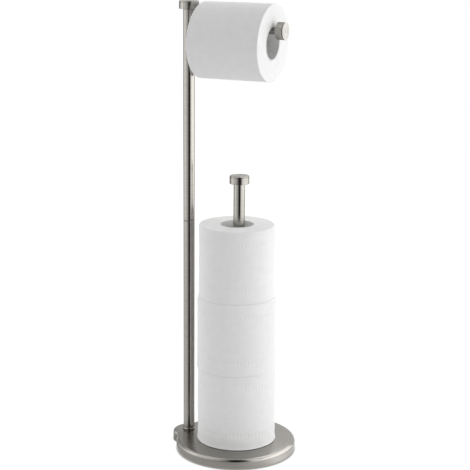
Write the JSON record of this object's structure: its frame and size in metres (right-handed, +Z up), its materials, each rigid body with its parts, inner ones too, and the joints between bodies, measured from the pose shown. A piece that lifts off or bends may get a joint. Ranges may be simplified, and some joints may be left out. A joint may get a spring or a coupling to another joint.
{
  "type": "toilet paper stand",
  "caption": "Free-standing brushed nickel toilet paper stand: a roll on a short arm near the top of a post, and spare rolls on a spindle over a weighted round base.",
  "frame": {"origin": "on the floor, under the middle of the base's outline", "axes": "+Z up; +X along the arm, from the post towards the knob on its end; +Y across the arm"},
  "size_m": [0.184, 0.1708, 0.6367],
  "materials": {
    "brushed_nickel": "satin",
    "cast_iron": "matte",
    "zinc_plate": "satin",
    "rubber": "matte",
    "tissue_paper": "matte",
    "core_card": "matte"
  },
  "bodies": {
    "stand": {"base_cover": "brushed_nickel", "post_foot_plug": "brushed_nickel", "post_lower_tube": "brushed_nickel", "post_upper_tube": "brushed_nickel", "post_cap": "brushed_nickel", "arm_rod": "brushed_nickel", "arm_knob": "brushed_nickel", "spindle_foot_plug": "brushed_nickel", "spindle_tube": "brushed_nickel", "spindle_cap": "brushed_nickel", "base_weight": "cast_iron", "base_pad": "rubber", "post_screw": "zinc_plate", "post_lock_washer": "zinc_plate", "post_washer": "zinc_plate", "post_lower_joint_plug": "zinc_plate", "post_upper_joint_plug": "zinc_plate", "post_joint_stud": "zinc_plate", "arm_socket": "zinc_plate", "arm_stud": "zinc_plate", "knob_stud": "zinc_plate", "post_top_plug": "zinc_plate", "post_cap_stud": "zinc_plate", "spindle_screw": "zinc_plate", "spindle_lock_washer": "zinc_plate", "spindle_washer": "zinc_plate", "spindle_top_plug": "zinc_plate", "spindle_cap_stud": "zinc_plate"},
    "hanging_roll": {"hanging_roll_paper": "tissue_paper", "hanging_roll_core": "core_card"},
    "spare_roll_bottom": {"spare_roll_bottom_paper": "tissue_paper", "spare_roll_bottom_core": "core_card"},
    "spare_roll_middle": {"spare_roll_middle_paper": "tissue_paper", "spare_roll_middle_core": "core_card"},
    "spare_roll_top": {"spare_roll_top_paper": "tissue_paper", "spare_roll_top_core": "core_card"}
  },
  "joints": [
    {"name": "hanging_roll_turn", "type": "hinge", "parent": "stand", "child": "hanging_roll", "pos_m": [0.0044, 0, 0.58445], "axis": [1, 0, 0], "continuous": true},
    {"name": "bottom_roll_lift", "type": "slide", "parent": "stand", "child": "spare_roll_bottom", "axis": [0, 0, 1], "range_m": [0, 0.01]},
    {"name": "middle_roll_lift", "type": "slide", "parent": "spare_roll_bottom", "child": "spare_roll_middle", "axis": [0, 0, 1], "range_m": [0, 0.01]},
    {"name": "top_roll_lift", "type": "slide", "parent": "spare_roll_middle", "child": "spare_roll_top", "axis": [0, 0, 1], "range_m": [0, 0.176]}
  ]
}
